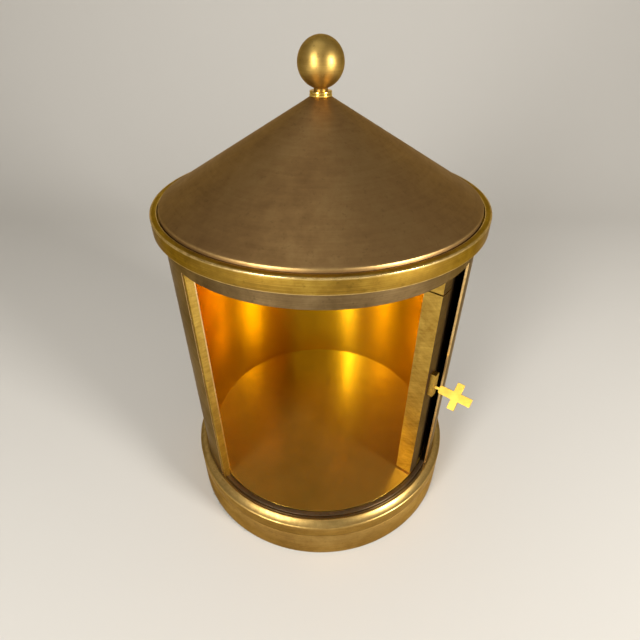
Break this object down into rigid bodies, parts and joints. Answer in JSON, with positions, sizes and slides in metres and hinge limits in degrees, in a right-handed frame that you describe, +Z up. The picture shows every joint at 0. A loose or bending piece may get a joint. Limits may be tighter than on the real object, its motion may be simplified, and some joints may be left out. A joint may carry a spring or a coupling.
{
  "type": "tabernacle box",
  "caption": "Round brass table tabernacle with a conical roof, a revolving gilt inner drum that closes its doorway, and a key with a cross grip.",
  "frame": {"origin": "centre of the felt pad's underside, on the axis of the casing", "axes": "+Z up along the casing's axis, doorway towards -Y, lock side towards +X"},
  "size_m": [0.2432, 0.2432, 0.3761],
  "materials": {
    "felt": "dense green wool felt",
    "steel": "plain zinc-plated screws, sheet and rod",
    "brass_dark": "brown patinated, satin, mottled",
    "brass_antique": "turned, antique satin with worn bright edges",
    "brass_raw": "filed and lightly brushed, unlacquered",
    "brass_bright": "brushed bright",
    "gilt": "mirror-polished and gilt, fine lathe brushing",
    "brass_plain": "as machined, hidden inside",
    "bronze": "sintered bronze bush, oiled",
    "nylon": "natural nylon washer"
  },
  "bodies": {
    "casing": {"felt_pad": "felt", "bottom_plate": "steel", "bottom_pillars": "brass_plain", "bottom_screws": "steel", "base_ring": "brass_antique", "base_plate": "brass_plain", "base_plate_screws": "steel", "door_sill": "brass_dark", "sill_screws": "steel", "lower_bush": "bronze", "thrust_washer": "nylon", "casing_drum": "brass_dark", "strike_post": "brass_raw", "strike_screws": "steel", "top_ring": "brass_antique", "top_plate": "brass_plain", "top_plate_screws": "steel", "upper_bush": "bronze", "roof_stud": "steel", "stud_nut": "steel", "roof_cone": "brass_dark", "finial_collar": "brass_bright", "finial_ball": "brass_antique"},
    "drum": {"floor_disc": "gilt", "hub": "brass_plain", "hub_screws": "steel", "retaining_washer": "steel", "retaining_screw": "steel", "liner": "gilt", "ceiling_disc": "brass_antique", "upper_pivot": "brass_plain", "upper_pivot_screws": "steel", "stile": "brass_raw", "stile_foot": "brass_raw", "stile_head": "brass_raw", "stile_cover": "brass_raw", "cover_screws": "steel", "stile_screws": "steel", "lock_boss": "brass_raw", "boss_pins": "steel"},
    "plug": {"lock_plug": "brass_plain"},
    "bolt_upper": {"upper_bolt": "steel"},
    "bolt_lower": {"lower_bolt": "steel"},
    "key_body": {"key": "brass_bright"}
  },
  "joints": [
    {"name": "drum_turn", "type": "hinge", "parent": "casing", "child": "drum", "pos_m": [0, 0, 0.0433], "axis": [0, 0, 1], "range_deg": [-98.5, 0]},
    {"name": "plug_turn", "type": "hinge", "parent": "drum", "child": "plug", "pos_m": [0.0788, -0.06157, 0.1498], "axis": [0.788, -0.6157, 0], "range_deg": [-90, 0]},
    {"name": "upper_bolt_slide", "type": "slide", "parent": "drum", "child": "bolt_upper", "axis": [0, 0, 1], "range_m": [0, 0.0045]},
    {"name": "lower_bolt_slide", "type": "slide", "parent": "drum", "child": "bolt_lower", "axis": [0, 0, -1], "range_m": [0, 0.0046]},
    {"name": "key_pull", "type": "slide", "parent": "plug", "child": "key_body", "axis": [0.788, -0.6157, 0], "range_m": [0, 0.0125]}
  ],
  "couplings": [
    {"joint": "plug_turn", "follows": "upper_bolt_slide", "rad_per_m": -347.1},
    {"joint": "lower_bolt_slide", "follows": "upper_bolt_slide", "ratio": 1}
  ]
}
